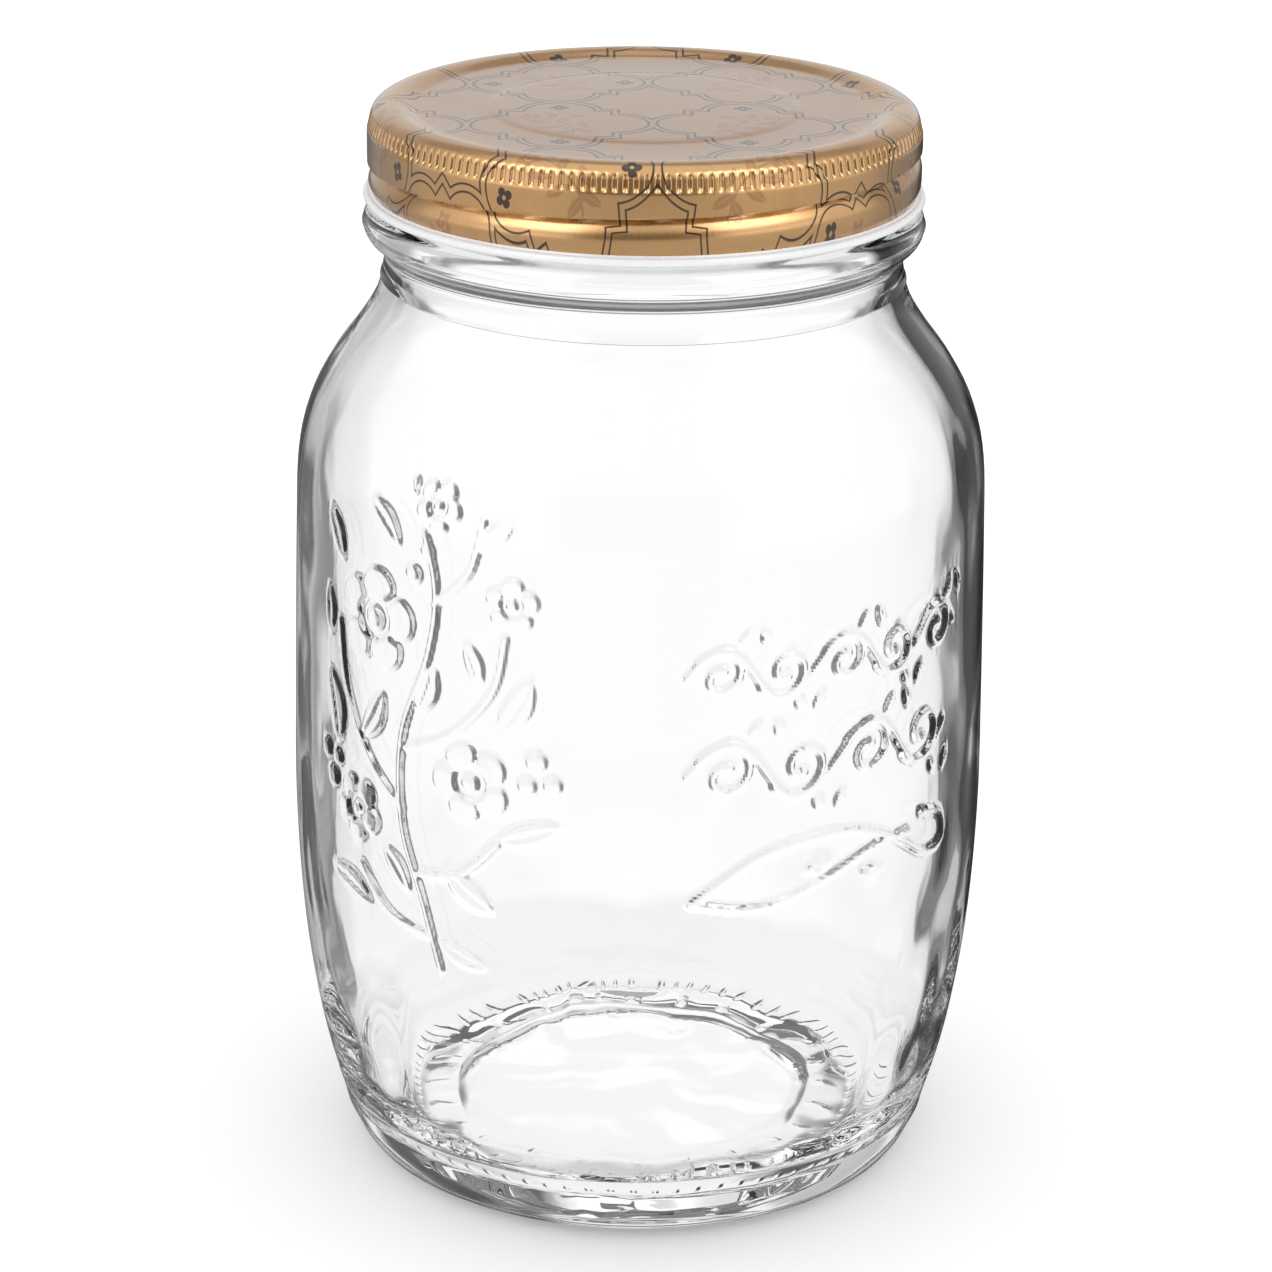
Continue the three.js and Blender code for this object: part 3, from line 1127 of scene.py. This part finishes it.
def printOn(x, y, z, wire):
    # ink of the dark lattice and of the tone-on-tone sprigs, and how flat the sheet lies
    radius = hypotOf(x, y).most(gold["axisRadius"])
    drawn = (gold["drawnFrom"] - z).most(0) * gold["drawn"]
    flatRadius = (radius * radius + drawn).root()
    across = x * flatRadius / radius - gold["shift"][0]
    along = y * flatRadius / radius - gold["shift"][1]
    across, along = turned(across, along, gold["turn"])
    cell = gold["cell"]
    inX = wire.maths("FLOORED_MODULO", across, cell) - cell / 2
    inY = wire.maths("FLOORED_MODULO", along, cell) - cell / 2
    row, column = (
        wire.maths("FLOORED_MODULO", wire.maths("FLOOR", place / cell), 2) for place in (along, across)
    )
    quatrefoil = quatrefoilOf(abs(inX), abs(inY))
    near = abs(quatrefoil).least(abs(quatrefoil - gold["band"]))
    flat = 1 - radius.soft(*gold["flatFade"])
    half, edge = flat.blend(*gold["lineHalf"]), gold["lineEdge"]
    lines = 1 - near.soft(half - edge, half + edge)
    ink = lines.most(flowersOf(abs(inX), abs(inY), row, column))
    # the sprig is turned over in every other column
    inCell = (1 - 2 * quatrefoil.soft(*gold["sprigFade"])).most(0)
    return ink, sprigOf(inX * (1 - 2 * column), inY) * inCell, flat


def goldMaterial():
    material, wire = newMaterial("printedGold")
    place = wire.node("ShaderNodeTexCoord").out("Object")
    split = wire.node("ShaderNodeSeparateXYZ", {}, {0: place})
    x, y, z = (split.out(name) * (1 / mm) for name in ("X", "Y", "Z"))
    ink, sprigs, flat = printOn(x, y, z, wire)
    cloud = wire.node("ShaderNodeTexNoise", {}, {
        "Vector": place, "Scale": gold["cloudScale"], "Detail": 2,
    })
    clouds = gold["clouds"] * cloud.soft(*gold["cloudFade"])
    tint = (sprigs * flat.blend(*gold["sprigInk"])).most(clouds)
    # painted shade: where the sheet lies flat on top, the darker lacquer takes over
    lacquer = flat.mixed(gold["lacquer"], gold["shadedTopLacquer"])
    colour = (ink * gold["lineInk"]).mixed(tint.mixed(lacquer, gold["sprig"]), gold["line"])
    # rolled sheet, brushed up and down the skirt
    brushed = wire.node("ShaderNodeMapping", {}, {"Vector": place, "Scale": gold["brushing"]})
    grain = wire.node("ShaderNodeTexNoise", {}, {
        "Vector": brushed, "Scale": gold["grainScale"], "Detail": 2,
    })
    smooth, rougher = gold["roughness"]
    bump = wire.node("ShaderNodeBump", {}, {"Strength": 0.25, "Distance": 0.02 * mm, "Height": grain})
    shader = wire.node("ShaderNodeBsdfPrincipled", {}, {
        "Base Color": colour, "Metallic": 1 - ink, "Roughness": smooth + rougher * grain,
        "Normal": bump, "Specular IOR Level": 0.2, "Coat Weight": 1, "Coat Roughness": 0.08,
    })
    surfaceOf(wire, shader)
    return material


white = {
    "lacquer": (0.8, 0.803, 0.815, 1),
    "roughness": (0.22, 0.1),
    "grainScale": 300,
    "coat": 0.3,
}


def whiteMaterial():
    material, wire = newMaterial("whiteLacquer")
    place = wire.node("ShaderNodeTexCoord").out("Object")
    grain = wire.node("ShaderNodeTexNoise", {}, {
        "Vector": place, "Scale": white["grainScale"], "Detail": 2,
    })
    smooth, rougher = white["roughness"]
    shader = wire.node("ShaderNodeBsdfPrincipled", {}, {
        "Base Color": white["lacquer"], "Roughness": smooth + rougher * grain,
        "Coat Weight": white["coat"],
    })
    surfaceOf(wire, shader)
    return material


def paintLid(piece):
    # gold outside, white on the curl and on the inner faces
    piece.data.materials.append(goldMaterial())
    piece.data.materials.append(whiteMaterial())
    inner = lid["innerFaces"]
    centres, normals = faceVectors(piece, "center") / mm, faceVectors(piece, "normal")
    radius, _ = polar(centres)
    height = centres[:, 2]
    outward = normals[:, 0] * centres[:, 0] + normals[:, 1] * centres[:, 1]
    outward = outward / np.maximum(radius, gold["axisRadius"])
    lowest, highest = inner["heights"]
    onCeiling = (normals[:, 2] < inner["down"]) & (height > lowest)
    onSkirt = (outward < inner["inwards"]) & (radius > inner["beyond"]) & (height < highest)
    isWhite = (height < lid["curlTop"]) | onCeiling | onSkirt
    piece.data.polygons.foreach_set("material_index", isWhite.astype(np.int32))
    piece.data.update()


paintLid(lidPiece)
finished(lidPiece, lid["sharpAngle"])
print("lid ready")


for piece, node, slot in (
    (glassPiece, "glass_jar", "clear_glass"), (lidPiece, "lid", "printed_gold_metal"),
):
    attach(piece, "root")
    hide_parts(node)
